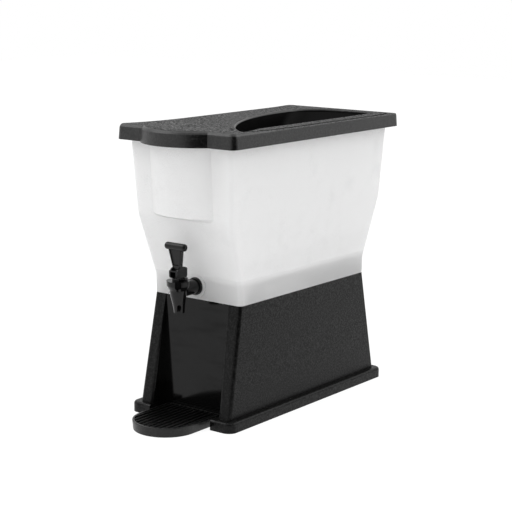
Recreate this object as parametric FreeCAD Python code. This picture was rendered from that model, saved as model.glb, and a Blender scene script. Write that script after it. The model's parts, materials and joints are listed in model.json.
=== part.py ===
import FreeCAD, Part
import math
import os

# Beverage dispenser: a frosted tank on a black moulded stand, with a lid, a drip tray and a tap.
# Millimetres. +X is the width, the tap faces -Y, +Z is up and the counter is z = 0.
# The shapes are drawn about the centre of the stand's foot, and each is moved along Y when it is
# written, so that the origin lies on the counter under the middle of the whole object.

# Whole object
overall_height = 436.8
running_gap = 0.3

# Stand
stand_top_z = 179.6
stand_top_half_x = 81.2
stand_top_half_y = 161.2
stand_foot_half_x = 85.6
stand_foot_half_y = 191.2
stand_corner_radius = 6.0
stand_wall = 3.0
flange_height = 15.75
flange_half_x = 96.5
flange_half_y = 202.2
flange_corner_radius = 14.0
flange_edge_radius = 4.0
alcove_half_x = 59.5
alcove_flare = 0.14
alcove_panel_inset = 0.6
alcove_panel_lean = math.radians(1.0)
alcove_edge_radius_top = 0.4
alcove_edge_radius_foot = 7.0
tray_slot_half_x = 58.2
rib_thickness = 2.5
rib_depth = 35.0
rib_positions = (-75.0, -35.0, 40.0, 80.0, 120.0)

# Locating blocks on the stand's top: half-width range, depth range and height above the top
rear_block = (0.0, 77.0, 0.0, 155.5, 20.5)
front_block = (21.0, 50.0, -156.5, -125.0, 13.5)
corner_block = (52.5, 76.0, -150.0, -109.0, 17.5)

# Drip tray
tray_height = 14.0
tray_half_x = 50.0
tray_front_y = -281.0
tray_rear_y = -164.9
tray_draft = 1.5
tray_rim = 3.0
tray_floor = 2.5
tray_rib_width = 3.6
tray_rib_pitch = 8.5
tray_rib_count = 11

# Tank: half sizes at the foot, wall slopes of the three bands, and the knees between them
tank_wall = 2.5
tank_foot_z = stand_top_z + running_gap
tank_foot_half_x = 82.2
tank_foot_half_y = 161.3
tank_corner_radius = 8.0
lower_knee_z = 208.0
upper_knee_z = 302.3
lower_knee_reach = 3.0
upper_knee_reach = 9.0
tank_slopes_x = (0.0285, 0.0764, 0.0445)
tank_slopes_y = (0.0, 0.3325, 0.0740)
tank_rim_z = 420.0
tank_rim_thickness = 2.5
floor_front_z = 212.0
floor_slope = 0.026
floor_dish_half_x = 85.0
floor_dish_rise = 28.0
sump_radius = 17.0
sump_rear_y = -112.0

# Bowed column on the tank's front
column_half_x = 58.0
column_foot_z = 308.5
column_foot_apex_y = -213.0
column_top_apex_y = -231.0
column_chin_height = 7.0
column_root = 1.5

# Lid
lid_skirt_z = 413.3
lid_half_x = 109.3
lid_half_y = 214.65
lid_corner_radius = 10.0
lid_draft = 1.4
lid_wall = 3.0
lid_edge_radius = 7.0
lid_deck_z = 432.0
lid_front_rise_y = -60.0
lid_front_rise_radius = 2633.0
lid_rear_rise_y = 150.0
lid_rear_rise_radius = 1707.0
lid_bow_half_x = 62.0
lid_bow_apex_y = -243.6
lid_locating_rib = 2.5

# Crescent grip pocket in the lid
pocket_floor_z = 410.0
pocket_wall = 2.5
pocket_collar_z = 428.0
pocket_side_x = 67.0
pocket_rear_y = 205.0
pocket_rear_slope = 24.0
pocket_draft = 2.0
pocket_sweep_centre = (338.0, 138.0)
pocket_sweep_radius = 395.0
pocket_turn_radius = 67.0
pocket_corner_radius = 7.0
pocket_tip_radius = 2.6
pocket_bend_y = -90.0
pocket_bend_angle = 20.0
pocket_bend_radius = 80.0
pocket_lip_radius = 3.0
rail_groove_x = (91.0, 97.0)
rail_groove_y = (-158.0, 200.0)
rail_groove_depth = 1.3

# Tap
tap_axis_y = -200.0
tap_foot_z = 167.0
tap_foot_y = -201.5
tap_neck_z = 201.0
tap_head_z = 215.0
tap_head_y = -203.5
# Rings of the spout and of the head: height, radius and centre along Y
spout_rings = ((tap_foot_z, 8.0, tap_foot_y), (181.0, 9.6, -202.6), (191.0, 11.4, tap_head_y),
               (tap_neck_z, 13.0, tap_head_y))
head_rings = ((tap_neck_z, 13.0, tap_head_y), (204.0, 14.8, tap_head_y), (207.5, 17.0, tap_head_y),
              (tap_head_z, 17.6, tap_head_y))
chamber_radius = 6.2
chamber_foot_z = 186.0
plug_radius = 9.1
plug_foot_z = 205.5
outlet_radius = 4.2
shank_z = 200.0
shank_radius = 7.9
shank_bore_radius = 4.5
shank_rear_y = -139.0
barrel_radius = 11.0
collar_radius = 12.6
collar_thickness = 2.5
boss_radius = 17.6
boss_face_y = -164.2
washer_radius = 13.2
washer_thickness = 2.0
nut_across_flats = 24.0
nut_thickness = 8.0
bonnet_radius = 11.5
bonnet_top_z = 218.8
slot_azimuth = 39.0
slot_half_width = 4.5
slot_foot_z = 204.8
slot_floor_radius = 12.3
slot_corner_radius = 1.5
arch_half_width = 2.9
arch_centre_z = 177.1

# Handle and valve
pin_z = 224.5
pin_radius = 1.5
pin_half_length = 7.2
foot_half_x = 7.3
foot_front_y = -215.7
foot_rear_y = -192.0
foot_low_z = bonnet_top_z + running_gap
foot_ledge_z = 231.0
foot_round = 4.0
cheek_front_y = -214.2
cheek_crest_y = -202.0
cheek_crest_z = 235.8
cheek_rear_z = 232.6
fork_half_gap = 4.9
fork_top_z = 229.0
fork_rear_wall = 1.5
neck_half_x = 5.2
neck_front_y = -208.6
paddle_low_z = 235.5
paddle_top_z = 261.0
paddle_corner_radius = 1.5
# Half width, front and rear of the paddle and of the recess in its front, low and high
paddle_low = (7.3, -208.9, -201.7)
paddle_top = (11.9, -212.3, -204.5)
recess_low = (5.3, -214.0, -207.6)
recess_top = (9.9, -218.0, -210.9)
recess_sill = 2.2
bar_half_length = 19.0
bar_radius = 5.4
bar_y = -208.7
bar_z = 265.6
bar_end_radius = 3.6
stem_radius = 2.5
stem_eye_radius = 3.6
stem_eye_half_x = 4.2
cup_radius = 5.6
cup_height = 6.5
cup_cone_height = 3.0
cup_lap = 0.6
spring_radius = 4.3
spring_wire_radius = 0.6
spring_turns = 5

# The middle of the whole object along Y, between the tray's front and the lid's rear
shift_y = -(tray_front_y + lid_half_y) / 2


def vector(x, y, z):
    return FreeCAD.Vector(x, y, z)


def box(x0, x1, y0, y1, z0, z1):
    return Part.makeBox(x1 - x0, y1 - y0, z1 - z0, vector(x0, y0, z0))


def rod_x(radius, half_length, y, z):
    return Part.makeCylinder(radius, 2 * half_length, vector(-half_length, y, z), vector(1, 0, 0))


def rod_y(radius, y0, y1, z, x=0.0):
    return Part.makeCylinder(radius, y1 - y0, vector(x, y0, z), vector(0, 1, 0))


def rod_z(radius, z0, z1, y):
    return Part.makeCylinder(radius, z1 - z0, vector(0, y, z0), vector(0, 0, 1))


def line(p, q):
    return Part.LineSegment(p, q).toShape()


def arc_about(centre_x, centre_y, radius, start, end, z):
    # An arc in a level plane, between two angles in degrees.
    points = []
    for angle in (start, (start + end) / 2, end):
        turn = math.radians(angle)
        points.append(vector(centre_x + radius * math.cos(turn), centre_y + radius * math.sin(turn), z))
    return Part.Arc(*points).toShape()


def joined(edges):
    # A closed wire through arcs and the straight runs between their ends.
    pieces = []
    for edge, following in zip(edges, edges[1:] + edges[:1]):
        pieces.append(edge)
        start = edge.lastVertex(True).Point
        end = following.firstVertex(True).Point
        if start.distanceToPoint(end) > 1e-6:
            pieces.append(line(start, end))
    return Part.Wire(pieces)


def rounded_rectangle(half_x, y_front, y_rear, radius, z):
    low = y_front + radius
    high = y_rear - radius
    right = half_x - radius
    return joined([
        arc_about(right, low, radius, 270, 360, z),
        arc_about(right, high, radius, 0, 90, z),
        arc_about(-right, high, radius, 90, 180, z),
        arc_about(-right, low, radius, 180, 270, z),
    ])


def loft(wires):
    return Part.makeLoft(wires, True, True)


def prism(points, direction):
    # A solid swept from a closed outline of straight runs.
    return Part.Face(Part.makePolygon(points + points[:1])).extrude(direction)


def rounded(shape, radius, chosen):
    edges = [edge for edge in shape.Edges if chosen(edge)]
    return shape.makeFillet(radius, edges)


def lies_at_z(edge, z):
    return abs(edge.BoundBox.ZMin - z) < 1e-4 and abs(edge.BoundBox.ZMax - z) < 1e-4


# Stand


def stand_size(z):
    # Half sizes of the flared body at a height.
    share = (stand_top_z - z) / (stand_top_z - flange_height)
    half_x = stand_top_half_x + share * (stand_foot_half_x - stand_top_half_x)
    half_y = stand_top_half_y + share * (stand_foot_half_y - stand_top_half_y)
    return half_x, half_y


def stand_section(z, inset):
    half_x, half_y = stand_size(z)
    return rounded_rectangle(half_x - inset, inset - half_y, half_y - inset, stand_corner_radius - inset / 2, z)


def panel_y(z):
    # The alcove's back panel leans forward a little towards the counter.
    return -stand_top_half_y + alcove_panel_inset - (stand_top_z - z) * math.tan(alcove_panel_lean)


def alcove_cut(offset):
    # The space in front of the panel, with side walls that open towards the front.
    reach = flange_half_y - stand_top_half_y + 20.0
    low = flange_height if offset == 0 else 0.0
    sections = []
    for z in (low, stand_top_z + 1.0):
        back = panel_y(z) + offset
        near = alcove_half_x + offset
        far = near + alcove_flare * reach
        corners = [(near, back), (far, back - reach), (-far, back - reach), (-near, back)]
        points = [vector(x, y, z) for x, y in corners]
        sections.append(Part.makePolygon(points + points[:1]))
    return loft(sections)


def slot_cut(offset):
    # The gap in the foot flange where the drip tray goes.
    half_x = tray_slot_half_x + offset
    return box(-half_x, half_x, -flange_half_y - 20.0, panel_y(0) + offset, -1.0, flange_height + offset)


def block_shape(block, side, inset):
    near, far, y0, y1, height = block
    x0, x1 = (-far, far) if near == 0 else sorted((side * near, side * far))
    shape = box(x0 + inset, x1 - inset, y0 + inset, y1 - inset, stand_top_z - stand_wall - inset,
                stand_top_z + height - inset)
    if inset == 0:
        shape = rounded(shape, 3.0, lambda edge: edge.BoundBox.ZMax - edge.BoundBox.ZMin > 1.0)
    return shape


def make_stand():
    body = loft([stand_section(0.0, 0.0), stand_section(stand_top_z, 0.0)])
    flange = Part.Face(rounded_rectangle(flange_half_x, -flange_half_y, flange_half_y, flange_corner_radius, 0.0))
    flange = flange.extrude(vector(0, 0, flange_height))
    flange = rounded(flange, flange_edge_radius, lambda edge: lies_at_z(edge, flange_height))
    body = body.cut(alcove_cut(0.0))
    body = soften_pillars(body)
    outer = body.fuse(flange).cut(slot_cut(0.0))
    outer = outer.cut(box(-tray_slot_half_x, tray_slot_half_x, -flange_half_y, panel_y(0), -1.0, flange_height))

    hollow = loft([stand_section(-1.0, stand_wall), stand_section(stand_top_z - stand_wall, stand_wall)])
    foot = Part.Face(rounded_rectangle(flange_half_x - stand_wall, stand_wall - flange_half_y,
                                       flange_half_y - stand_wall, flange_corner_radius - stand_wall, -1.0))
    foot = foot.extrude(vector(0, 0, 1.0 + flange_height - stand_wall))
    hollow = hollow.fuse(foot).cut(alcove_cut(stand_wall)).cut(slot_cut(stand_wall))
    for block in (rear_block, front_block, corner_block):
        for side in ((1,) if block[0] == 0 else (1, -1)):
            outer = outer.fuse(block_shape(block, side, 0.0))
            hollow = hollow.fuse(block_shape(block, side, stand_wall).cut(alcove_cut(stand_wall)))

    stand = outer.cut(hollow)
    for y in rib_positions:
        sheet = box(-stand_foot_half_x, stand_foot_half_x, y, y + rib_thickness, stand_top_z - rib_depth,
                    stand_top_z + 20.0)
        stand = stand.fuse(sheet.common(hollow))
    return stand.removeSplitter()


def soften_pillars(body):
    # The alcove's front edges are rounded, sharp at the top and softer towards the counter.
    edges = []
    for edge in body.Edges:
        bounds = edge.BoundBox
        tall = bounds.ZMax - bounds.ZMin > 0.8 * (stand_top_z - flange_height)
        in_front = bounds.YMin < -stand_foot_half_y + 12.0
        near_alcove = max(abs(bounds.XMin), abs(bounds.XMax)) < alcove_half_x + 8.0
        if tall and in_front and near_alcove:
            edges.append(edge)
    softened = body
    for edge in edges:
        top_first = edge.firstVertex().Point.z > edge.lastVertex().Point.z
        radii = (alcove_edge_radius_top, alcove_edge_radius_foot)
        first, last = radii if top_first else radii[::-1]
        same = [other for other in softened.Edges if other.BoundBox.Center.distanceToPoint(edge.BoundBox.Center) < 0.01]
        softened = softened.makeFillet(first, last, same[:1])
    print("pillar edges rounded:", len(edges))
    return softened


# Drip tray


def tray_section(z, inset):
    # A half-round front and straight sides back to the alcove's panel.
    half_x = tray_half_x - inset
    corner = 4.0
    rear_y = tray_rear_y - inset
    return joined([
        arc_about(0.0, tray_front_y + tray_half_x, half_x, 180, 360, z),
        arc_about(half_x - corner, rear_y - corner, corner, 0, 90, z),
        arc_about(corner - half_x, rear_y - corner, corner, 90, 180, z),
    ])


def make_tray():
    tray = loft([tray_section(0.0, tray_draft), tray_section(tray_height, 0.0)])
    tray = rounded(tray, 1.0, lambda edge: lies_at_z(edge, tray_height))
    dish = loft([tray_section(tray_floor, tray_rim + tray_draft), tray_section(tray_height + 1.0, tray_rim)])
    tray = tray.cut(dish)
    grown = loft([tray_section(1.0, tray_rim), tray_section(tray_height, tray_rim - tray_draft)])
    half_width = tray_rib_width / 2
    for number in range(tray_rib_count):
        x = (number - (tray_rib_count - 1) / 2) * tray_rib_pitch
        top = tray_height - half_width
        web = box(x - half_width, x + half_width, tray_front_y, tray_rear_y, 1.0, top)
        crest = rod_y(half_width, tray_front_y, tray_rear_y, top, x)
        tray = tray.fuse(web.fuse(crest).common(grown))
    return tray.removeSplitter()


# Tank


def knee(height, reach):
    # How far a unit change of slope has moved the wall at a height above the knee, with a soft bend.
    if height <= -reach:
        return 0.0
    if height >= reach:
        return height
    return (height + reach) ** 2 / (4 * reach)


def tank_half(foot_half, slopes, z):
    lower, middle, upper = slopes
    low = knee(z - lower_knee_z, lower_knee_reach) - knee(tank_foot_z - lower_knee_z, lower_knee_reach)
    high = knee(z - upper_knee_z, upper_knee_reach)
    return foot_half + lower * (z - tank_foot_z) + (middle - lower) * low + (upper - middle) * high


def tank_half_x(z):
    return tank_half(tank_foot_half_x, tank_slopes_x, z)


def tank_half_y(z):
    return tank_half(tank_foot_half_y, tank_slopes_y, z)


def tank_section(z, inset):
    half_x = tank_half_x(z) - inset
    half_y = tank_half_y(z) - inset
    return rounded_rectangle(half_x, -half_y, half_y, tank_corner_radius - inset, z)


def tank_body(inset, low_z, high_z):
    heights = [low_z]
    for centre, reach in ((lower_knee_z, lower_knee_reach), (upper_knee_z, upper_knee_reach)):
        heights += [centre + reach * share for share in (-1.0, -0.5, 0.0, 0.5, 1.0)]
    heights.append(high_z)
    return loft([tank_section(z, inset) for z in heights])


def column_apex(z):
    share = (z - column_foot_z) / (tank_rim_z - column_foot_z)
    return column_foot_apex_y + share * (column_top_apex_y - column_foot_apex_y)


def bowed_section(half_x, base_y, apex_y, depth, z):
    # A bowed front edge on a straight-sided block that reaches back into the wall.
    front = Part.Arc(vector(-half_x, base_y, z), vector(0, apex_y, z), vector(half_x, base_y, z)).toShape()
    corners = [vector(half_x, base_y, z), vector(half_x, base_y + depth, z), vector(-half_x, base_y + depth, z),
               vector(-half_x, base_y, z)]
    return Part.Wire([front] + [line(p, q) for p, q in zip(corners, corners[1:])])


def tank_column(inset, high_z):
    # The column's chin slopes back until it is just inside the wall.
    chin_z = column_foot_z - column_chin_height
    sections = []
    for z in (chin_z, column_foot_z, high_z):
        wall_y = column_root - tank_half_y(z)
        apex_y = wall_y - 0.5 if z == chin_z else column_apex(z)
        sections.append(bowed_section(column_half_x - inset, wall_y + inset, apex_y + inset, 6.0, z + inset))
    return loft(sections)


def above_floor(lowered):
    # All the space above a dished floor that falls towards the tap.
    radius = (floor_dish_half_x ** 2 + floor_dish_rise ** 2) / (2 * floor_dish_rise)
    start_y = -260.0
    axis_z = floor_front_z + floor_slope * (start_y + tank_foot_half_y) + radius
    dish = Part.makeCylinder(radius + lowered, 520.0, vector(0, start_y, axis_z), vector(0, 1, floor_slope))
    return dish.fuse(box(-110.0, 110.0, start_y, -start_y, axis_z - radius / 4, 500.0))


def sump(offset):
    radius = sump_radius + offset
    front_y = tank_wall - tank_foot_half_y - offset
    rear_y = sump_rear_y + offset
    channel = box(-radius, radius, front_y, rear_y, shank_z, floor_front_z + 6.0)
    return channel.fuse(rod_y(radius, front_y, rear_y, shank_z))


def mouth_rim():
    # The turned-out rim fills the lid's skirt, so its sides follow the skirt's draft.
    gap = lid_wall + running_gap
    return loft([lid_section(tank_rim_z - tank_rim_thickness, gap), lid_section(tank_rim_z, gap)])


def make_tank():
    outer = tank_body(0.0, tank_foot_z, tank_rim_z).fuse(tank_column(0.0, tank_rim_z)).fuse(mouth_rim())
    outer = outer.fuse(rod_y(boss_radius, boss_face_y, -tank_foot_half_y + 1.0, shank_z))
    inner = tank_body(tank_wall, tank_foot_z - 1.0, tank_rim_z + 1.0)
    room = inner.fuse(tank_column(tank_wall, tank_rim_z + 1.0)).common(above_floor(0.0))
    under = inner.cut(above_floor(tank_wall)).cut(sump(tank_wall))
    hole = rod_y(shank_radius + running_gap, -180.0, -150.0, shank_z)
    tank = outer.cut(room).cut(under).cut(sump(0.0)).cut(hole)
    return tank.removeSplitter()


# Lid


def lid_section(z, inset):
    # A long rounded rectangle whose front edge bows forward between two crisp corners.
    share = (z - lid_skirt_z) / (lid_deck_z - lid_skirt_z)
    inset = inset + share * lid_draft
    half_x = lid_half_x - inset
    front_y = inset - lid_half_y
    rear_y = lid_half_y - inset
    sagitta = -lid_half_y - lid_bow_apex_y
    bow_radius = (lid_bow_half_x ** 2 + sagitta ** 2) / (2 * sagitta)
    bow_centre_y = lid_bow_apex_y + bow_radius
    bow_radius = bow_radius - inset
    half_angle = math.degrees(math.acos((bow_centre_y - front_y) / bow_radius))
    radius = lid_corner_radius - inset
    right = half_x - radius
    return joined([
        arc_about(0.0, bow_centre_y, bow_radius, 270 - half_angle, 270 + half_angle, z),
        arc_about(right, front_y + radius, radius, 270, 360, z),
        arc_about(right, rear_y - radius, radius, 0, 90, z),
        arc_about(-right, rear_y - radius, radius, 90, 180, z),
        arc_about(-right, front_y + radius, radius, 180, 270, z),
    ])


def above_deck(lowered):
    # The space above the deck, which is level in the middle and rises softly to the front and the rear.
    x = -lid_half_x - 10.0
    top_z = overall_height + 30.0
    curves = []
    for level_y, far_y, radius in ((lid_front_rise_y, -260.0, lid_front_rise_radius),
                                   (lid_rear_rise_y, 240.0, lid_rear_rise_radius)):
        points = []
        for y in (level_y, (level_y + far_y) / 2, far_y):
            rise = radius - math.sqrt(radius ** 2 - (y - level_y) ** 2)
            points.append(vector(x, y, lid_deck_z - lowered + rise))
        curves.append(points)
    front, rear = curves
    outline = joined([
        Part.Arc(*front[::-1]).toShape(),
        Part.Arc(*rear).toShape(),
        line(vector(x, rear[2].y, top_z), vector(x, front[2].y, top_z)),
    ])
    return Part.Face(outline).extrude(vector(-2 * x, 0, 0))


def lid_block():
    # The skirt rises straight to a rolled edge, which the deck cuts off except along the bowed front.
    spring_z = overall_height - lid_edge_radius
    sections = [lid_section(lid_skirt_z, 0.0), lid_section(spring_z, 0.0)]
    steps = 5
    for step in range(1, steps + 1):
        turn = math.radians(90.0 * step / steps)
        z = spring_z + lid_edge_radius * math.sin(turn)
        sections.append(lid_section(z, lid_edge_radius * (1 - math.cos(turn))))
    return loft(sections).cut(above_deck(0.0))


def lid_cavity():
    spring_z = overall_height - lid_edge_radius
    roof_z = overall_height - lid_wall
    sections = [lid_section(lid_skirt_z - 1.0, lid_wall), lid_section(spring_z, lid_wall),
                lid_section(roof_z, lid_wall + roof_z - spring_z)]
    return loft(sections).cut(above_deck(lid_wall))


def pocket_section(z, offset):
    # The crescent: a long sweep, a round turn at the rear, and a side along the grip rail that bends
    # out to a narrow tip at the front.
    depth = max(pocket_collar_z - z, 0.0) / (pocket_collar_z - pocket_floor_z)
    grown = offset - pocket_draft * depth
    rear_y = pocket_rear_y - pocket_rear_slope * depth + offset
    sweep = pocket_sweep_radius + grown
    turn = pocket_turn_radius + grown
    corner = pocket_corner_radius + grown
    tip = pocket_tip_radius + grown
    bend = pocket_bend_radius - grown
    centre = vector(*pocket_sweep_centre, z)
    turn_y = rear_y - turn
    turn_x = centre.x - math.sqrt((sweep - turn) ** 2 - (turn_y - centre.y) ** 2)
    turn_angle = math.degrees(math.atan2(turn_y - centre.y, turn_x - centre.x)) % 360
    bend_centre = vector(pocket_side_x + pocket_bend_radius, pocket_bend_y, z)
    angle = math.radians(pocket_bend_angle)
    along = vector(math.sin(angle), -math.cos(angle), 0)
    outward = vector(math.cos(angle), math.sin(angle), 0)
    start = bend_centre - outward * (bend + tip)
    reach = start - centre
    run = math.sqrt(reach.dot(along) ** 2 - reach.dot(reach) + (sweep - tip) ** 2) - reach.dot(along)
    tip_centre = start + along * run
    tip_angle = math.degrees(math.atan2(tip_centre.y - centre.y, tip_centre.x - centre.x)) % 360
    side_x = pocket_side_x + grown
    return joined([
        arc_about(tip_centre.x, tip_centre.y, tip, tip_angle, 360 + pocket_bend_angle, z),
        arc_about(bend_centre.x, bend_centre.y, bend, 180 + pocket_bend_angle, 180, z),
        arc_about(side_x - corner, rear_y - corner, corner, 0, 90, z),
        arc_about(turn_x, turn_y, turn, 90, turn_angle, z),
        arc_about(centre.x, centre.y, sweep, turn_angle, tip_angle, z),
    ])


def pocket_block(offset):
    # A straight collar under the deck, and drafted walls below it.
    heights = (pocket_floor_z - offset, pocket_collar_z, overall_height + 5.0)
    return loft([pocket_section(z, offset) for z in heights])


def locating_rib():
    # A rim below the deck that stands on the tank's mouth.
    low_z = tank_rim_z + running_gap
    centre_half_x = (tank_half_x(tank_rim_z) + lid_half_x - lid_wall) / 2
    centre_half_y = (tank_half_y(tank_rim_z) + lid_half_y - lid_wall) / 2
    shapes = []
    for side in (lid_locating_rib / 2, -lid_locating_rib / 2):
        half_y = centre_half_y + side
        outline = rounded_rectangle(centre_half_x + side, -half_y, half_y, lid_corner_radius / 2 + side, low_z)
        shapes.append(Part.Face(outline).extrude(vector(0, 0, overall_height - low_z)))
    return shapes[0].cut(shapes[1]).cut(above_deck(lid_wall / 2))


def on_pocket_rim(edge):
    bounds = edge.BoundBox
    inside_x = bounds.XMin > -pocket_side_x and bounds.XMax < rail_groove_x[0]
    inside_y = bounds.YMin > -tank_half_y(tank_rim_z) and bounds.YMax < pocket_rear_y + 1.0
    return bounds.ZMin > lid_deck_z - 0.01 and inside_x and inside_y


def make_lid():
    shell = lid_block().cut(lid_cavity()).fuse(locating_rib())
    shell = shell.fuse(pocket_block(pocket_wall).cut(above_deck(lid_wall / 2))).cut(pocket_block(0.0))
    shell = rounded(shell.removeSplitter(), pocket_lip_radius, on_pocket_rim)
    groove = above_deck(rail_groove_depth).common(box(*rail_groove_x, *rail_groove_y, lid_skirt_z, overall_height))
    return shell.cut(groove).removeSplitter()


# Tap


def ring(z, radius, y):
    return Part.Wire(Part.makeCircle(radius, vector(0, y, z)))


def turned(shape, y):
    # Turns a cut that faces -Y about the upright line at y until it faces the slot's azimuth.
    shape.rotate(vector(0, y, 0), vector(0, 0, 1), slot_azimuth)
    return shape


def make_faucet_body():
    # The spout widens upwards into a round head, and the barrel and shank run back to the tank.
    spout = Part.makeLoft([ring(*sizes) for sizes in spout_rings], True, False)
    head = loft([ring(*sizes) for sizes in head_rings])
    collar_front_y = boss_face_y - washer_thickness - collar_thickness
    body = spout.fuse(head).fuse(rod_y(barrel_radius, tap_axis_y + 5.0, collar_front_y, shank_z))
    body = body.fuse(rod_y(collar_radius, collar_front_y, boss_face_y - washer_thickness, shank_z))
    body = body.fuse(rod_y(shank_radius, collar_front_y, shank_rear_y, shank_z))
    body = body.cut(rod_z(chamber_radius, chamber_foot_z, tap_head_z + 1.0, tap_axis_y))
    body = body.cut(rod_z(plug_radius + 0.1, plug_foot_z, tap_head_z + 1.0, tap_axis_y))
    body = body.cut(rod_z(outlet_radius, tap_foot_z - 1.0, chamber_foot_z + 1.0, tap_axis_y))
    body = body.cut(rod_y(shank_bore_radius, tap_axis_y, shank_rear_y + 1.0, shank_z))
    arch = box(-arch_half_width, arch_half_width, tap_foot_y - 12.0, tap_foot_y, tap_foot_z - 1.0, arch_centre_z)
    arch = arch.fuse(rod_y(arch_half_width, tap_foot_y - 12.0, tap_foot_y, arch_centre_z))
    body = body.cut(turned(arch, tap_foot_y))
    slot = box(-slot_half_width, slot_half_width, tap_head_y - 24.0, tap_head_y - slot_floor_radius,
               slot_foot_z, tap_head_z + 1.0)
    slot = rounded(slot, slot_corner_radius, lambda edge: lies_at_z(edge, slot_foot_z) and edge.BoundBox.YLength > 1.0)
    return body.cut(turned(slot, tap_head_y)).removeSplitter()


def make_faucet_bonnet():
    cap = rod_z(bonnet_radius, tap_head_z, bonnet_top_z, tap_axis_y)
    cap = rounded(cap, 0.8, lambda edge: lies_at_z(edge, bonnet_top_z))
    plug = rod_z(plug_radius, plug_foot_z, tap_head_z, tap_axis_y)
    return cap.fuse(plug).cut(rod_z(stem_radius + 0.05, plug_foot_z - 1.0, bonnet_top_z + 1.0, tap_axis_y))


def paddle_section(z, sizes):
    half_x, y_front, y_rear = sizes
    return rounded_rectangle(half_x, y_front, y_rear, paddle_corner_radius, z)


def make_faucet_handle():
    # A forked foot that rocks on the bonnet, cheeks that rise to the neck, a tapered paddle and a bar.
    x = -foot_half_x
    crest = Part.Arc(vector(x, cheek_front_y, foot_ledge_z), vector(x, cheek_crest_y, cheek_crest_z),
                     vector(x, foot_rear_y, cheek_rear_z)).toShape()
    sole = line(vector(x, foot_rear_y, foot_low_z), vector(x, foot_front_y, foot_low_z))
    ledge = line(vector(x, foot_front_y, foot_ledge_z), vector(x, cheek_front_y, foot_ledge_z))
    foot = Part.Face(joined([crest, sole, ledge])).extrude(vector(2 * foot_half_x, 0, 0))
    foot = rounded(foot, foot_round, lambda edge: lies_at_z(edge, foot_low_z) and edge.BoundBox.XLength > 2.0)
    foot = foot.cut(box(-fork_half_gap, fork_half_gap, foot_front_y - 1.0, foot_rear_y - fork_rear_wall,
                        foot_low_z - 1.0, fork_top_z))
    foot = foot.cut(box(-neck_half_x, neck_half_x, foot_front_y - 1.0, neck_front_y, foot_ledge_z,
                        cheek_crest_z + 1.0))
    neck = box(-neck_half_x, neck_half_x, neck_front_y, cheek_crest_y, foot_ledge_z - 1.0, paddle_low_z + 0.5)
    paddle = loft([paddle_section(paddle_low_z, paddle_low), paddle_section(paddle_top_z, paddle_top)])
    recess = loft([paddle_section(paddle_low_z + recess_sill, recess_low),
                   paddle_section(paddle_top_z + recess_sill, recess_top)])
    bar = rounded(rod_x(bar_radius, bar_half_length, bar_y, bar_z), bar_end_radius,
                  lambda edge: edge.BoundBox.XLength < 0.01)
    handle = foot.fuse(neck).fuse(paddle).cut(recess).fuse(bar)
    return handle.cut(rod_x(pin_radius, foot_half_x + 1.0, tap_axis_y, pin_z)).removeSplitter()


def make_handle_pin():
    return rod_x(pin_radius, pin_half_length, tap_axis_y, pin_z)


def make_valve_stem():
    stem = rod_z(stem_radius, chamber_foot_z + 1.5, pin_z, tap_axis_y)
    stem = stem.fuse(rod_x(stem_eye_radius, stem_eye_half_x, tap_axis_y, pin_z))
    return stem.cut(rod_x(pin_radius + 0.05, stem_eye_half_x + 1.0, tap_axis_y, pin_z))


def make_seat_cup():
    # A cone seals the outlet below, and a collar above takes the spring.
    low_z = chamber_foot_z + 0.1
    cone = Part.makeCone(outlet_radius + cup_lap, cup_radius, cup_cone_height, vector(0, tap_axis_y, low_z))
    cup = cone.fuse(rod_z(cup_radius, low_z + cup_cone_height, chamber_foot_z + cup_height, tap_axis_y))
    return cup.cut(rod_z(stem_radius, chamber_foot_z + 1.5, chamber_foot_z + cup_height + 1.0, tap_axis_y))


def bent_arc(start, bend, end):
    # The arc that leaves start towards bend and reaches end.
    middle = (start + end) * 0.5
    angle = (bend - start).getAngle(end - start)
    apex = middle + (bend - middle) * (math.tan(angle / 2) / math.tan(angle))
    return Part.Arc(start, apex, end).toShape()


def coil_line(radius, pitch, turns):
    # Two arcs for each half turn, which share the helix's points and tangents at their ends.
    arcs = []
    for number in range(2 * turns):
        side = 1.0 if number % 2 == 0 else -1.0
        start = vector(side * radius, 0, number * pitch / 2)
        end = vector(-side * radius, 0, (number + 1) * pitch / 2)
        rise = pitch / (2 * math.pi)
        leave = vector(0, side * radius, rise).normalize()
        arrive = vector(0, -side * radius, rise).normalize()
        across = end - start
        along = across.dot(leave + arrive)
        spread = 1 - leave.dot(arrive)
        reach = (math.sqrt(along ** 2 + 2 * spread * across.dot(across)) - along) / (2 * spread)
        first_bend = start + leave * reach
        last_bend = end - arrive * reach
        joint = (first_bend + last_bend) * 0.5
        arcs.append(bent_arc(start, first_bend, joint))
        arcs.append(bent_arc(joint, last_bend, end))
    return Part.Wire(arcs)


def make_valve_spring():
    # A compression spring between the seat cup and the plug, with a wire of eight narrow flats.
    low_z = chamber_foot_z + cup_height + spring_wire_radius + 0.1
    height = plug_foot_z - spring_wire_radius - 0.1 - low_z
    pitch = height / spring_turns
    across = vector(0, spring_radius, pitch / (2 * math.pi)).cross(vector(1, 0, 0)).normalize()
    points = []
    for number in range(8):
        turn = math.radians(45.0 * number)
        step = vector(1, 0, 0) * math.cos(turn) + across * math.sin(turn)
        points.append(vector(spring_radius, 0, 0) + step * spring_wire_radius)
    section = Part.makePolygon(points + points[:1])
    spring = coil_line(spring_radius, pitch, spring_turns).makePipeShell([section], True, False)
    spring.translate(vector(0, tap_axis_y, low_z))
    print("spring's least gap between turns:", round(pitch - 2 * spring_wire_radius, 2))
    return spring


def washer(radius, y0):
    ring = rod_y(radius, y0, y0 + washer_thickness, shank_z)
    return ring.cut(rod_y(shank_radius + 0.1, y0 - 1.0, y0 + washer_thickness + 1.0, shank_z))


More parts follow.
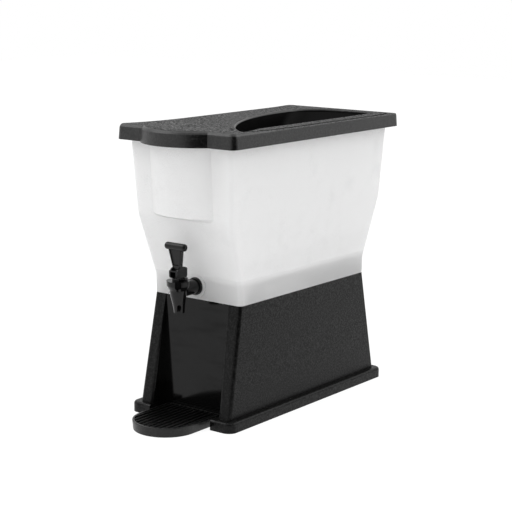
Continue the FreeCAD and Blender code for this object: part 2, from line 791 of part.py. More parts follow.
def make_shank_nut():
    y0 = tank_wall - tank_foot_half_y + washer_thickness
    corner = nut_across_flats / math.sqrt(3)
    corners = []
    for number in range(6):
        turn = math.radians(60.0 * number)
        corners.append(vector(corner * math.cos(turn), y0, shank_z + corner * math.sin(turn)))
    nut = prism(corners, vector(0, nut_thickness, 0))
    skirt = Part.makeCone(corner + 1.0, corner - 3.0, nut_thickness + 4.0, vector(0, y0 - 2.0, shank_z), vector(0, 1, 0))
    nut = nut.common(skirt)
    return nut.cut(rod_y(shank_radius, y0 - 1.0, y0 + nut_thickness + 1.0, shank_z))


parts = {
    "base_stand": make_stand,
    "drip_tray": make_tray,
    "tank": make_tank,
    "lid": make_lid,
    "faucet_body": make_faucet_body,
    "faucet_bonnet": make_faucet_bonnet,
    "faucet_handle": make_faucet_handle,
    "handle_pin": make_handle_pin,
    "valve_stem": make_valve_stem,
    "seat_cup": make_seat_cup,
    "valve_spring": make_valve_spring,
    "shank_washer_front": lambda: washer(washer_radius, boss_face_y - washer_thickness),
    "shank_washer_rear": lambda: washer(washer_radius - 0.7, tank_wall - tank_foot_half_y),
    "shank_nut": make_shank_nut,
}

os.makedirs("parts", exist_ok=True)
for name, make in parts.items():
    shape = make()
    shape.translate(vector(0, shift_y, 0))
    bounds = shape.BoundBox
    print(name, "valid", shape.isValid(), "solids", len(shape.Solids), "faces", len(shape.Faces),
          "cm3", round(shape.Volume / 1000, 2), "z", round(bounds.ZMin, 2), round(bounds.ZMax, 2))
    shape.exportStep("parts/" + name + ".step")
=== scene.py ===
# %% [markdown]
# # A frosted drink dispenser on a black stand
#
# The real object is a stack of mouldings: a hollow black stand, a frosted tank that sits over
# locating blocks, a black lid with a grip pocket, a small black tap and a ribbed drip tray.
# The CAD model already has every piece as its own solid, so this script keeps those solids. It
# gives them their surfaces, adds two details that are too fine for the solids, and sets up the
# light and the camera of a studio picture.

# %% Load the packed model
import json
import math

import bmesh
import bpy
from mathutils import Matrix, Vector


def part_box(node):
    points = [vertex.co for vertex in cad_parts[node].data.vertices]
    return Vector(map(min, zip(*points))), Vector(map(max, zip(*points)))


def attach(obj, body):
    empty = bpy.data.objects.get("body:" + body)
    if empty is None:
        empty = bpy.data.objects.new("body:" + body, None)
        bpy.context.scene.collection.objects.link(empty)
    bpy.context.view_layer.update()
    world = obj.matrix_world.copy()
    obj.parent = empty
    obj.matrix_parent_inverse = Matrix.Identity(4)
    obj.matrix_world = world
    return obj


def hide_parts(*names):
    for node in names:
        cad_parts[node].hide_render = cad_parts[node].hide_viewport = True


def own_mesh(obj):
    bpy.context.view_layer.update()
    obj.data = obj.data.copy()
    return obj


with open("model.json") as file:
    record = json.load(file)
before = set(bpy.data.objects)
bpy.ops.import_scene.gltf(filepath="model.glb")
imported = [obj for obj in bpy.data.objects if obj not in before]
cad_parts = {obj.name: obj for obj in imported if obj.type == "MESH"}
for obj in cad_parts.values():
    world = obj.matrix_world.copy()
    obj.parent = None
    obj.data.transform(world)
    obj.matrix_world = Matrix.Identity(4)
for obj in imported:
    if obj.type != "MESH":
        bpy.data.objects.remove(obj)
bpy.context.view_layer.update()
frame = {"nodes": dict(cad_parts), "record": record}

mm = 0.001
print("pieces:", sorted(frame["nodes"]))

# %% [markdown]
# ## Where the photographer stood
#
# The picture is taken from in front and to the right of the tap, from a little above the lid,
# with a long lens. A camera is an object like any other: its place is a point on a sphere around
# a target, and its axes come from looking back at that target. The angles were found by lining
# up the straight edges of the lid, the stand and the foot flange.

# %% Camera
camera_azimuth = math.radians(37.11)
camera_elevation = math.radians(11.24)
camera_roll = math.radians(0.48)
camera_distance = 2312.0 * mm
camera_target = Vector((-13.4, 33.2, 218.05)) * mm
focal_pixels = 1482.2
frame_pixels = 512
sensor_width = 36.0
far_clip = 30.0


def direction(azimuth, elevation):
    """The unit vector towards an azimuth, counted from the tap's side, and an elevation."""
    level = math.cos(elevation)
    return Vector((math.sin(azimuth) * level, -math.cos(azimuth) * level, math.sin(elevation)))


def add_camera():
    back = direction(camera_azimuth, camera_elevation)
    right = Vector((0, 0, 1)).cross(back).normalized()
    up = back.cross(right)
    rolled_right = right * math.cos(camera_roll) + up * math.sin(camera_roll)
    rolled_up = up * math.cos(camera_roll) - right * math.sin(camera_roll)
    camera = bpy.data.objects.new("camera", bpy.data.cameras.new("camera"))
    bpy.context.scene.collection.objects.link(camera)
    turn = Matrix((rolled_right, rolled_up, back)).transposed().to_4x4()
    camera.matrix_world = Matrix.Translation(camera_target + back * camera_distance) @ turn
    camera.data.sensor_width = sensor_width
    camera.data.lens = sensor_width * focal_pixels / frame_pixels
    camera.data.clip_end = far_clip
    bpy.context.scene.camera = camera
    return camera


camera = add_camera()
print("camera at", [round(value, 3) for value in camera.location])
print("lens in mm:", round(camera.data.lens, 1))

# %% [markdown]
# ## Writing a surface as arithmetic
#
# A finish is a small sum: some noise here, a mask there, a blend between two colours. Built
# node by node that sum is hard to read, so one class wraps a socket and lets `1 - mask * 0.5`
# add the Math nodes by itself. A second class holds a material and makes every other node.

# %% A socket that can be reckoned with


class Signal:
    """A number that varies over a surface, held by the socket that gives it."""

    def __init__(self, finish, socket):
        self.finish = finish
        self.socket = socket

    def math(self, operation, *values):
        settings = {"operation": operation}
        return self.finish.node("ShaderNodeMath", settings, dict(enumerate(values)))

    def __add__(self, other):
        return self.math("ADD", self, other)

    def __sub__(self, other):
        return self.math("SUBTRACT", self, other)

    def __rsub__(self, other):
        return self.math("SUBTRACT", other, self)

    def __mul__(self, other):
        return self.math("MULTIPLY", self, other)

    def __abs__(self):
        return self.math("ABSOLUTE", self)

    __radd__ = __add__
    __rmul__ = __mul__

    def rises(self, low, high):
        """0 below low, 1 above high and a soft step between."""
        settings = {"interpolation_type": "SMOOTHSTEP"}
        inputs = {"Value": self, "From Min": low, "From Max": high}
        return self.finish.node("ShaderNodeMapRange", settings, inputs)

    def falls(self, low, high):
        """1 below low, 0 above high and a soft step between."""
        return 1 - self.rises(low, high)

    def larger(self, other):
        return self.math("MAXIMUM", self, other)

    def output(self, name):
        """Another output of the same node."""
        return Signal(self.finish, self.socket.node.outputs[name])

    def axis(self, letter):
        """One component of a vector."""
        split = self.finish.node("ShaderNodeSeparateXYZ", None, {"Vector": self})
        return split.output(letter)

    def dot(self, vector):
        """How far a direction points along a fixed one."""
        settings = {"operation": "DOT_PRODUCT"}
        return self.finish.node("ShaderNodeVectorMath", settings, {0: self, 1: vector})


print("operators from the right:", [name for name in vars(Signal) if name.startswith("__r")])

# %% A finish as a tree of nodes
# A Mix node keeps sockets for every kind of value, and those for colours go by number.
colour_inputs = (0, 6, 7)
colour_output = 2


class Finish:
    """One material, or the world, as a tree to which nodes are added by name."""

    def __init__(self, tree):
        self.tree = tree
        self.tree.nodes.clear()

    def node(self, kind, settings=None, inputs=None):
        """A node of a kind, with its settings and then its sockets set or linked."""
        made = self.tree.nodes.new(kind)
        for name, value in (settings or {}).items():
            setattr(made, name, value)
        for name, value in (inputs or {}).items():
            if isinstance(value, Signal):
                self.tree.links.new(value.socket, made.inputs[name])
            else:
                made.inputs[name].default_value = value
        enabled = [socket for socket in made.outputs if socket.enabled]
        return Signal(self, enabled[0]) if enabled else made

    def place(self):
        """The surface point in metres, in the frame of the whole object at rest."""
        return self.node("ShaderNodeTexCoord").output("Object")

    def upward(self):
        """How far the surface faces up: 1 on a level top, 0 on a wall, -1 on an underside."""
        return self.node("ShaderNodeNewGeometry").output("Normal").axis("Z")

    def noise(self, where, size, detail=2.0, roughness=0.5, stretch=(1, 1, 1)):
        """Soft cloudy values around a half, with blobs of about this size in metres."""
        scaled = self.node("ShaderNodeMapping", None, {"Vector": where, "Scale": stretch})
        inputs = {"Vector": scaled, "Scale": 1.0 / size, "Detail": detail, "Roughness": roughness}
        return self.node("ShaderNodeTexNoise", None, inputs)

    def blend(self, share, low, high):
        """A colour between two, by a share that varies."""
        inputs = dict(zip(colour_inputs, (share, low, high)))
        mix = self.node("ShaderNodeMix", {"data_type": "RGBA"}, inputs)
        return mix.output(colour_output)

    def bump(self, height, depth):
        inputs = {"Height": height, "Distance": depth, "Strength": 1.0}
        return self.node("ShaderNodeBump", None, inputs)

    def principled(self, inputs):
        return self.node("ShaderNodeBsdfPrincipled", None, inputs)

    def mixed(self, share, first, second):
        """Two shaders in one, by the share of the second."""
        return self.node("ShaderNodeMixShader", None, {0: share, 1: first, 2: second})

    def finish(self, shader, kind="ShaderNodeOutputMaterial"):
        self.node(kind, None, {"Surface": shader})


print("a colour blend uses sockets", colour_inputs, "and gives socket", colour_output)

# %% Dressing the model's pieces
finishes = {}


def grey(value):
    return (value, value, value, 1.0)


def new_finish(name):
    material = bpy.data.materials.new(name)
    material.use_nodes = True
    finishes[name] = material
    return Finish(material.node_tree)


def dress(name, *nodes):
    """Gives CAD pieces one finish on all their slots."""
    for node in nodes:
        mesh = frame["nodes"][node].data
        mesh.materials.clear()
        mesh.materials.append(finishes[name])
    print(name, "on", ", ".join(nodes))


print("pieces to dress:", len(frame["nodes"]))

# %% [markdown]
# ## Places where the mould's grain changes
#
# The stand, the lid and the tray are black plastic from grained moulds, but they aren't grained
# alike all over. The stand's front alcove is smooth and easy to wipe. The coarser grain on the
# lid's top and the near-black matt floors of the lid's pocket and the tray are choices made here,
# as the picture is too small to measure them well; the matt floors are painted shade in those
# recesses. A mask is a number that is 1 in such a place and 0 elsewhere. It could be painted, but
# these places follow the shape, so a few heights and widths from the model and the way a face
# points are enough.

# %% Smooth alcove of the stand
panel_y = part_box("drip_tray")[1].y + 1.3 * mm
panel_skin = (-6 * mm, -5 * mm)
shoulder_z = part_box("tank")[0].z
shoulder_edge = (-0.5 * mm, -0.2 * mm)
alcove_half_width = 59.5 * mm
alcove_edge = (0.3 * mm, 1.2 * mm)
alcove_flare = 0.14


def around(level, edge):
    """The two ends of a soft step near a level."""
    return [level + offset for offset in edge]


def alcove_mask(f, where):
    """1 on the smooth panel and the side walls of the front alcove."""
    depth = panel_y - where.axis("Y")
    across = abs(where.axis("X")) - depth * alcove_flare
    inside = across.falls(*around(alcove_half_width, alcove_edge))
    low = where.axis("Z").falls(*around(shoulder_z, shoulder_edge))
    return inside * depth.rises(*panel_skin) * low


print("alcove panel at y", round(panel_y, 4), "below z", round(shoulder_z, 4))

# %% Coarse top of the lid and painted shade in its pocket
lid_low, lid_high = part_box("lid")
deck_z = lid_high.z - 6.0 * mm
deck_edge = (0.0, 1 * mm)
deck_facing = (0.90, 0.98)
lid_wall = (-9 * mm, -8 * mm)
pocket_front = (38 * mm, 39 * mm)
pocket_top = (-2.5 * mm, -0.5 * mm)


def deck_mask(f, where):
    """1 on the lid's level top."""
    return f.upward().rises(*deck_facing) * where.axis("Z").rises(*around(deck_z, deck_edge))


def pocket_shade_mask(f, where):
    """1 inside the lid's skirt and in the grip pocket, where shade is painted as near-black matt.
    """
    inside = abs(where.axis("X")).falls(*around(lid_high.x, lid_wall))
    ahead = where.axis("Y").rises(*around(lid_low.y, pocket_front))
    behind = where.axis("Y").falls(*around(lid_high.y, lid_wall))
    return inside * ahead * behind * where.axis("Z").falls(*around(deck_z, pocket_top))


print("lid's top above z", round(deck_z, 4))

# %% Painted shade on the floor of the tray
tray_top_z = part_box("drip_tray")[1].z
tray_floor_facing = (0.5, 0.8)
rib_foot = (-6 * mm, -4 * mm)
tray_sole = (1 * mm, 2 * mm)


def groove_shade_mask(f, where):
    """1 on the floor between the tray's ribs, which is made near-black matt as painted shade."""
    low = where.axis("Z").falls(*around(tray_top_z, rib_foot))
    return f.upward().rises(*tray_floor_facing) * low * where.axis("Z").rises(*tray_sole)


print("tray's ribs up to z", round(tray_top_z, 4))

# %% [markdown]
# ## Black moulded plastic, satin and finely grained
#
# A spark-eroded mould leaves a skin of tiny pebbles. Their crests catch a wide soft highlight and
# the pits between them catch none, so the black shows a fine even grain. That highlight is also
# painted: the crests get a lighter colour than the black of the plastic. One shader with a bump
# alone comes out too even, so two are mixed: a satin one, and a matt one without any shine in the
# pits, which also paints shade into the lid's pocket and onto the floor of the tray. A cell pattern
# and a fine noise give the pebbles, and a broad noise gives the patches where hands have polished
# the skin. The foot gets dull scuffs near the counter, where it is dragged, and the smooth alcove
# gets the faint smears of wiping. The same recipe serves all three pieces with other numbers, since
# they come from other moulds.

# %% Colours and sizes of the grain
# The crest colour is a painted highlight on the pebbles' crests; the scuff colour is real wear.
black, painted_crest_highlight, black_scuff = grey(0.0012), grey(0.010), grey(0.03)
# The matt blacks colour the pits and also the places where shade is painted.
pit_and_shade_blacks = (grey(0.002), grey(0.004))
pebble_size, pebble_depth, pebble_roughness = 2.5 * mm, 0.10 * mm, 0.75
pebble_cells = 0.2
crest_levels = (0.46, 0.74)
crest_roughness = 0.16
pit_levels = (0.38, 0.62)
patch_size, patch_roughness = 45 * mm, 0.10
scuff_size, scuff_stretch, scuff_levels = 6 * mm, (1, 1, 3), (0.60, 0.72)
scuff_reach = (4 * mm, 30 * mm)
scuff_roughness, scuff_share = 0.2, 0.4
crater_size, crater_levels = 4.0 * mm, (0.40, 0.60)
crater_mean, crater_roughness, crater_depth = 0.3, 0.2, 2.5
crater_matt = (0.10, 0.66)
panel_roughness, panel_patches, panel_crests = 0.12, 0.06, 0.7
smear_size, smear_stretch, smear_levels = 25 * mm, (0.4, 1, 1.6), (0.50, 0.72)
smear_matt = 0.22
# Share of the near-black matt shader where shade is painted into recesses.
painted_shade_share = 0.92
matt_roughness = 0.9
print("pebbles and craters in mm:", round(pebble_size / mm, 2), round(crater_size / mm, 2))

# %% Satin black


def grained_black(name, sheen, roughness, pits, polished=None, coarse=None, painted_shade=None):
    """Satin black; the last three are functions for the masks of smooth places, of rough places and
    of places of painted shade.
    """
    f = new_finish(name)
    where = f.place()
    scale = {"Vector": where, "Scale": 1.0 / pebble_size}
    cells = f.node("ShaderNodeTexVoronoi", {"feature": "F1"}, scale)
    cloud = f.noise(where, patch_size, 3.0)
    grain = f.noise(where, pebble_size, 4.0, pebble_roughness)
    crests = (grain + (0.5 - cells) * pebble_cells).rises(*crest_levels)
    scuffs = f.noise(where, scuff_size, 5.0, 0.7, scuff_stretch).rises(*scuff_levels)
    scuffs = scuffs * where.axis("Z").falls(*scuff_reach)
    rough = roughness + (cloud - 0.5) * patch_roughness + (crests - 0.5) * crest_roughness
    rough = rough + scuffs * scuff_roughness
    height = crests
    matt_share = grain.falls(*pit_levels) * pits
    if coarse:
        coarser = coarse(f, where)
        craters = f.noise(where, crater_size, 4.0, 0.8).falls(*crater_levels)
        rough = rough + coarser * (craters - crater_mean) * crater_roughness
        height = crests * (1 + coarser * crater_depth)
        matt_share = matt_share + coarser * (crater_matt[0] + craters * crater_matt[1])
    if polished:
        smooth = polished(f, where)
        rubbed = panel_roughness + (cloud - 0.5) * panel_patches
        rough = rough * (1 - smooth) + smooth * rubbed
        height = height * (1 - smooth)
        crests = crests * (1 - smooth * panel_crests)
        smears = f.noise(where, smear_size, 4.0, 0.6, smear_stretch).rises(*smear_levels)
        matt_share = matt_share * (1 - smooth) + smooth * smears * smear_matt
    # Recesses get the near-black matt shader as painted shade.
    if painted_shade:
        matt_share = matt_share.larger(painted_shade(f, where) * painted_shade_share)
    # The crests' lighter colour is a painted highlight.
    colour = f.blend(crests, black, painted_crest_highlight)
    satin = f.principled({
        "Base Color": f.blend(scuffs * scuff_share, colour, black_scuff),
        "Roughness": rough,
        "Normal": f.bump(height, pebble_depth),
        "Specular IOR Level": sheen,
    })
    matt = f.principled({
        "Base Color": f.blend(cloud, *pit_and_shade_blacks),
        "Roughness": matt_roughness,
        "Specular IOR Level": 0.0,
    })
    f.finish(f.mixed(matt_share, satin, matt))


grained_black("stand_black", sheen=0.215, roughness=0.38, pits=0.42, polished=alcove_mask)
grained_black(
    "lid_black", sheen=0.62, roughness=0.40, pits=0.15, coarse=deck_mask, painted_shade=pocket_shade_mask,
)
grained_black("tray_black", sheen=0.40, roughness=0.38, pits=0.1, painted_shade=groove_shade_mask)
dress("stand_black", "base_stand")
dress("lid_black", "lid")
dress("tray_black", "drip_tray")

# %% [markdown]
# ## Polished black of the tap
#
# The tap comes from a polished mould and takes sharp reflections. What keeps it from looking
# like computer plastic is a faint unevenness of the skin, so a very shallow bump bends the
# reflections a little, and fingerprints raise the roughness here and there. The mould's two
# halves meet in a fine line along the tap's middle plane, and a thin raised ridge in the bump
# gives that line. The handle's paddle and bar are worn to satin by many hands, and the deep
# window in the tap's head is made a near-black matt, which is painted shade in that recess.

# %% Window of the tap's head, with painted shade
head_low, head_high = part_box("faucet_body")
head_centre = Vector((0.0, head_low.y + (head_high.x - head_low.x) / 2, 0.0))
head_rim = (-0.15 * mm, -0.05 * mm)
slot_azimuth = math.radians(39.0)
slot_half_width = 4.5 * mm
slot_side = (0.05 * mm, 0.2 * mm)
slot_floor_radius = 12.3 * mm
slot_floor = (-0.2 * mm, -0.1 * mm)
slot_foot_z = head_high.z - 10.2 * mm
slot_foot = (-0.1 * mm, 0.1 * mm)


def slot_shade_mask(f, where):
    """1 in the deep window of the tap's head, where shade is painted as near-black matt."""
    facing = direction(slot_azimuth, 0.0)
    sideways = direction(slot_azimuth + math.pi / 2, 0.0)
    out = where.dot(facing) - head_centre.dot(facing)
    aside = abs(where.dot(sideways) - head_centre.dot(sideways))
    low = where.axis("Z").rises(*around(slot_foot_z, slot_foot))
    inside = aside.falls(*around(slot_half_width, slot_side))
    floor = out.rises(*around(slot_floor_radius, slot_floor))
    rim = where.axis("Z").falls(*around(head_high.z, head_rim))
    return inside * floor * low * rim


print("window from z", round(slot_foot_z, 4), "to", round(head_high.z, 4))

# %% Gloss black
parting_half_width = 0.12 * mm
parting_height = 0.6
parting_roughness = 0.1
paddle_z = head_high.z + 24.0 * mm
paddle_edge = (-2 * mm, 2 * mm)
paddle_roughness = 0.20
print_levels = (0.52, 0.75)
print_roughness = 0.16
print_size = 7 * mm
gloss_roughness = 0.09
# The second black colours fingerprints and also paints the shade in the head's window.
gloss_sheen, slot_shade_sheen = 0.29, 0.02
gloss_black, print_and_shade_black = grey(0.002), grey(0.004)
ripple_size, ripple_depth = 9 * mm, 0.05 * mm


def polished_black():
    f = new_finish("polished_black")
    where = f.place()
    ripple = f.noise(where, ripple_size, 2.0)
    prints = f.noise(where, print_size, 4.0, 0.65).rises(*print_levels)
    parting = abs(where.axis("X")).falls(parting_half_width / 2, parting_half_width)
    paddle = where.axis("Z").rises(*around(paddle_z, paddle_edge))
    rough = gloss_roughness + prints * print_roughness + parting * parting_roughness
    gloss = f.principled({
        "Base Color": f.blend(prints, gloss_black, print_and_shade_black),
        "Roughness": rough + paddle * paddle_roughness,
        "Normal": f.bump(ripple + parting * parting_height, ripple_depth),
        "Specular IOR Level": gloss_sheen,
    })
    matt = f.principled({
        "Base Color": print_and_shade_black,
        "Roughness": matt_roughness,
        "Specular IOR Level": slot_shade_sheen,
    })
    f.finish(f.mixed(slot_shade_mask(f, where), gloss, matt))


polished_black()
dress("polished_black", "faucet_body", "faucet_bonnet", "faucet_handle")
dress("polished_black", "handle_pin", "valve_stem", "shank_nut")

# %% [markdown]
# ## Frosted tank
#
# The tank's wall is a clear plastic with a frosted skin. Part of the light bounces off the frost as
# milky white, most of the rest soaks through and leaves on the other side in all directions, and
# a little goes through nearly straight, so the wall seems lit from within. Three shaders are mixed
# for that: milky, translucent and rough clear. The skirt below the knee and the tank's floor are
# less milky, so they take on the dark of the stand's top behind them. Fine noise breaks up all
# three, as the frosting is never quite even, and long faint streaks of tone follow the way the
# plastic flowed in the mould.

# %% Frosted plastic
knee_z = shoulder_z + 28.0 * mm
knee_blend = (-3 * mm, 11 * mm)
floor_facing = (0.6, 0.8)
floor_top = (30 * mm, 35 * mm)
skirt_milk, body_milk, milk_variation = 0.27, 0.52, 0.02
skirt_frost, body_frost, frost_variation = 0.20, 0.28, 0.05
speckle_size, frost_depth = 0.8 * mm, 0.02 * mm
cloud_size = 60 * mm
streak_size, streak_stretch = 14 * mm, (1, 1, 0.12)
milky_roughness, milky_variation = 0.42, 0.1
milky_sheen = 0.3
glow_share = 0.80
glow_tone = grey(0.98)
plastic_ior = 1.45
tones = (grey(0.972), grey(0.992))


def frosted():
    f = new_finish("frosted_acrylic")
    where = f.place()
    cloud = f.noise(where, cloud_size, 2.0)
    streaks = f.noise(where, streak_size, 3.0, 0.6, streak_stretch)
    speckle = f.noise(where, speckle_size, 2.0)
    tone = f.blend(cloud * 0.5 + streaks * 0.5, *tones)
    frost = f.bump(speckle, frost_depth)
    above = where.axis("Z").rises(*around(knee_z, knee_blend))
    floor = abs(f.upward()).rises(*floor_facing)
    floor = floor * where.axis("Z").falls(*around(knee_z, floor_top))
    above = above * (1 - floor)
    haze = skirt_frost + above * (body_frost - skirt_frost)
    clear = f.principled({
        "Base Color": tone,
        "Roughness": haze + (cloud + speckle - 1) * frost_variation,
        "Normal": frost,
        "IOR": plastic_ior,
        "Transmission Weight": 1.0,
    })
    milky = f.principled({
        "Base Color": tone,
        "Roughness": milky_roughness + (speckle - 0.5) * milky_variation,
        "Normal": frost,
        "Specular IOR Level": milky_sheen,
    })
    glow = f.node("ShaderNodeBsdfTranslucent", None, {"Color": glow_tone, "Normal": frost})
    through = f.mixed(glow_share, clear, glow)
    milk = skirt_milk + above * (body_milk - skirt_milk) + (cloud - 0.5) * milk_variation
    f.finish(f.mixed(milk, through, milky))


frosted()
dress("frosted_acrylic", "tank")
print("milk", skirt_milk, "on the skirt and", body_milk, "above z", round(knee_z, 4))

# %% [markdown]
# ## Rubber and steel inside
#
# The seals are black rubber, matt with a little bloom, and the spring is drawn steel wire. They
# hardly show, but the tap can be opened and the tank lifted, so they are finished too. Each is a
# single shader with one noise, as they are never seen from near by.

# %% Rubber and steel
bloom_size, bloom_levels, bloom_depth = 2.5 * mm, (0.45, 0.75), 0.03 * mm
rubber_tones = (grey(0.012), grey(0.03))
rubber_roughness, rubber_variation = 0.62, 0.2
drawn_size, drawn_stretch, drawn_depth = 0.6 * mm, (0.2, 1, 1), 0.01 * mm
steel_tones = (grey(0.50), grey(0.62))
steel_roughness, steel_variation = 0.24, 0.14


def rubber():
    f = new_finish("seal_rubber")
    bloom = f.noise(f.place(), bloom_size, 4.0, 0.6)
    f.finish(f.principled({
        "Base Color": f.blend(bloom.rises(*bloom_levels), *rubber_tones),
        "Roughness": rubber_roughness + (bloom - 0.5) * rubber_variation,
        "Normal": f.bump(bloom, bloom_depth),
    }))


def steel():
    f = new_finish("steel")
    drawn = f.noise(f.place(), drawn_size, 3.0, 0.6, drawn_stretch)
    f.finish(f.principled({
        "Base Color": f.blend(drawn, *steel_tones),
        "Metallic": 1.0,
        "Roughness": steel_roughness + drawn * steel_variation,
        "Normal": f.bump(drawn, drawn_depth),
    }))


rubber()
steel()
dress("seal_rubber", "seat_cup", "shank_washer_front", "shank_washer_rear")
dress("steel", "valve_spring")

# %% [markdown]
# ## Skins over rings
#
# The thread and the spring are both one small outline carried along a helix. A curve with a bevel
# could make the spring, but a ridge that fades out is easier to make from plain points. So each
# step gives a ring of points, and a single helper joins every ring to the next and closes the
# two ends.

# %% Join rings into a piece
flat_corners = 3


def skin_over(name, rings, finish):
    """A closed piece over rings of points that follow each other."""
    mesh = bmesh.new()
    rings = [[mesh.verts.new(point) for point in ring] for ring in rings]
    for ring, following in zip(rings, rings[1:]):
        for corner in range(len(ring)):
            other = (corner + 1) % len(ring)
            sides = (ring[corner], ring[other], following[other], following[corner])
            mesh.faces.new(sides).smooth = len(ring) > flat_corners
    mesh.faces.new(rings[0])
    mesh.faces.new(rings[-1])
    bmesh.ops.recalc_face_normals(mesh, faces=mesh.faces)
    data = bpy.data.meshes.new(name)
    mesh.to_mesh(data)
    mesh.free()
    data.materials.append(finishes[finish])
    piece = bpy.data.objects.new(name, data)
    bpy.context.scene.collection.objects.link(piece)
    print(name, "has", len(data.polygons), "faces")
    return piece


print("a ring of up to", flat_corners, "points is shaded flat, a rounder one smooth")

# %% [markdown]
# ## Thread on the tap's shank
#
# The shank that goes through the tank wall has a coarse moulded thread for the hand nut. It
# shows when the lid is off. A helix of one triangular ridge is enough, and it fades out at both
# ends, as a moulded thread does.

# %% Shank thread
thread_pitch = 2.0 * mm
thread_height = 0.55 * mm
thread_flank = 0.35 * thread_pitch
thread_steps = 24
fade_steps = 8
shank_radius = 7.85 * mm
nut_gap, collar_gap = 0.6 * mm, 0.8 * mm


def add_thread():
    nut_low, nut_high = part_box("shank_nut")
    axis_z = (nut_low.z + nut_high.z) / 2
    start_y = nut_high.y + nut_gap
    length = head_high.y - collar_gap - start_y
    steps = int(length / thread_pitch * thread_steps)
    rings = []
    for step in range(steps + 1):
        turn = math.tau * step / thread_steps
        y = start_y + thread_pitch * step / thread_steps
        crest = thread_height * min(1.0, step / fade_steps, (steps - step) / fade_steps)
        ring = []
        for along, height in ((-thread_flank, 0.0), (0.0, crest), (thread_flank, 0.0)):
            radius = shank_radius + height
            x, z = radius * math.cos(turn), axis_z + radius * math.sin(turn)
            ring.append((x, y + along, z))
        rings.append(ring)
    thread = skin_over("shank_thread", rings, "polished_black")
    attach(thread, "tank")
    return steps / thread_steps


print("thread turns:", round(add_thread(), 2))

# %% [markdown]
# ## Spring that closes the tap
#
# A compression spring stands between the seal and the plug. The stem carries its foot, so when
# the handle is pressed the foot rises and the coil has to get shorter. The solid coil of the CAD
# model is rigid, so a coil of round wire takes its place and rides on the stem as one piece; the
# share of its length that it should keep at the stem's full lift is printed.

# %% Closing spring
wire_radius = 0.6 * mm
wire_sides = 10
spring_turns = 5
spring_steps = 32


def add_spring():
    low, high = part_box("valve_spring")
    middle = (low + high) / 2
    coil_radius = (high.x - low.x) / 2 - wire_radius
    height = high.z - low.z - 2 * wire_radius
    climb = height / spring_turns / math.tau / coil_radius
    angles = [math.tau * side / wire_sides for side in range(wire_sides)]
    steps = spring_turns * spring_steps
    rings = []
    for step in range(steps + 1):
        turn = math.tau * step / spring_steps
        out = Vector((math.cos(turn), math.sin(turn), 0.0))
        along = Vector((-math.sin(turn), math.cos(turn), climb))
        up = out.cross(along).normalized()
        rise = low.z + wire_radius + height * step / steps
        spot = Vector((middle.x, middle.y, rise)) + out * coil_radius
        rings.append([spot + (out * math.cos(a) + up * math.sin(a)) * wire_radius for a in angles])
    spring = skin_over("spring_coil", rings, "steel")
    joints = {joint["name"]: joint for joint in frame["record"]["behaviour"]["joints"]}
    keep = 1 - joints["stem_lift"]["range_m"][1] / (high.z - low.z)
    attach(spring, "stem")
    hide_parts("valve_spring")
    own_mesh(spring)
    return keep


print("spring keeps this share of its length:", round(add_spring(), 3))

# %% [markdown]
# ## Floor, backdrop and light
#
# The object stands in a white sweep. The floor is a real surface that takes the object's shadow,
# and the camera, mirrors and clear walls are also shown a white that no lamp has to make, so the
# picture's ground stays white without more light on the object. Black plastic only shows what it
# mirrors, so the studio matters more than the lamps: white all round, with one dark side.

# %% The dark side
dark_azimuth = math.radians(65.0)
dark_edges = (math.radians(55.0), math.radians(38.0))
dark_level = 0.01


def dark_side(f, towards):
    """1 where a direction, or a place on the floor, lies on the studio's dark side."""
    level = f.node("ShaderNodeVectorMath", {"operation": "MULTIPLY"}, {0: towards, 1: (1, 1, 0)})
    level = f.node("ShaderNodeVectorMath", {"operation": "NORMALIZE"}, {0: level})
    edges = [math.cos(edge) for edge in dark_edges]
    return level.dot(direction(dark_azimuth, 0.0)).rises(*edges)


dark_ends = [round(math.degrees(dark_azimuth + side * dark_edges[0])) for side in (-1, 1)]
print("dark side in degrees:", dark_ends)

# %% White sweep
paper_whites = (grey(0.81), grey(0.82))
paper_fibre = 20 * mm
shown_white = 1.10
shown_share = 0.80
dark_floor = (0.5, 0.8)
sweep_half = 6


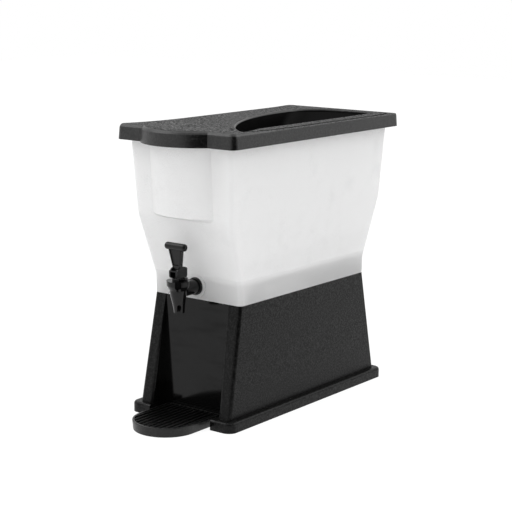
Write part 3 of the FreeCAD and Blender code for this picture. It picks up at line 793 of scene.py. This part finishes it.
def add_floor():
    f = new_finish("white_sweep")
    where = f.place()
    seen = f.node("ShaderNodeLightPath")
    distance = f.node("ShaderNodeVectorMath", {"operation": "LENGTH"}, {0: where})
    dark = dark_side(f, where) * distance.rises(*dark_floor) * seen.output("Is Glossy Ray")
    direct = seen.output("Is Camera Ray").larger(seen.output("Is Transmission Ray"))
    direct = direct.larger(seen.output("Is Glossy Ray"))
    paper = f.blend(f.noise(where, paper_fibre, 3.0), *paper_whites)
    lit = f.principled({
        "Base Color": f.blend(dark, paper, grey(dark_level)),
        "Roughness": 1.0,
        "Specular IOR Level": 0.0,
    })
    white, unlit = (
        f.node("ShaderNodeEmission", None, {"Color": grey(1.0), "Strength": level})
        for level in (shown_white, dark_level)
    )
    f.finish(f.mixed(direct * shown_share, lit, f.mixed(dark, white, unlit)))
    mesh = bpy.data.meshes.new("sweep")
    corners = ((-1, -1), (1, -1), (1, 1), (-1, 1))
    mesh.from_pydata([(x * sweep_half, y * sweep_half, 0) for x, y in corners], [], [(0, 1, 2, 3)])
    mesh.materials.append(finishes["white_sweep"])
    floor = bpy.data.objects.new("sweep", mesh)
    bpy.context.scene.collection.objects.link(floor)
    return floor


print("floor", add_floor().dimensions.x, "m across")

# %% Studio walls
wall_level = 0.88
sky_level = 1.07
backdrop_level = 1.0
dark_top = (0.45, 0.75)


def add_world():
    world = bpy.data.worlds.new("studio")
    world.use_nodes = True
    bpy.context.scene.world = world
    f = Finish(world.node_tree)
    seen = f.node("ShaderNodeLightPath")
    towards = f.node("ShaderNodeTexCoord").output("Generated")
    dark = dark_side(f, towards) * towards.axis("Z").falls(*dark_top)
    sky, wall, unlit, backdrop = (
        f.node("ShaderNodeBackground", None, {"Color": grey(1.0), "Strength": level})
        for level in (sky_level, wall_level, dark_level, backdrop_level)
    )
    unseen = f.mixed(seen.output("Is Glossy Ray"), sky, f.mixed(dark, wall, unlit))
    direct = seen.output("Is Camera Ray").larger(seen.output("Is Transmission Ray"))
    f.finish(f.mixed(direct, unseen, backdrop), "ShaderNodeOutputWorld")


add_world()
print("studio walls at", wall_level, "and the dark side at", dark_level)

# %% Soft boxes


def add_softbox(name, azimuth, elevation, distance, width, height, power):
    """A rectangular lamp that faces the target; angles in degrees, sizes in metres."""
    data = bpy.data.lights.new(name, "AREA")
    data.shape = "RECTANGLE"
    data.size = width
    data.size_y = height
    data.energy = power
    lamp = bpy.data.objects.new(name, data)
    bpy.context.scene.collection.objects.link(lamp)
    out = direction(math.radians(azimuth), math.radians(elevation))
    lamp.location = camera_target + out * distance
    lamp.rotation_euler = out.to_track_quat("Z", "Y").to_euler()
    return power


watts = [
    add_softbox("key", -50, 48, 2.2, 1.6, 1.2, 14),
    add_softbox("fill", 140, 40, 2.4, 1.6, 1.2, 11),
    add_softbox("top", 20, 86, 2.2, 1.4, 1.8, 6),
]
print("soft boxes in watts:", watts)

# %% [markdown]
# ## View transform
#
# Blender's view transform is set to Standard, which shows a colour about as written.

# %% View transform
bpy.context.scene.view_settings.view_transform = "Standard"
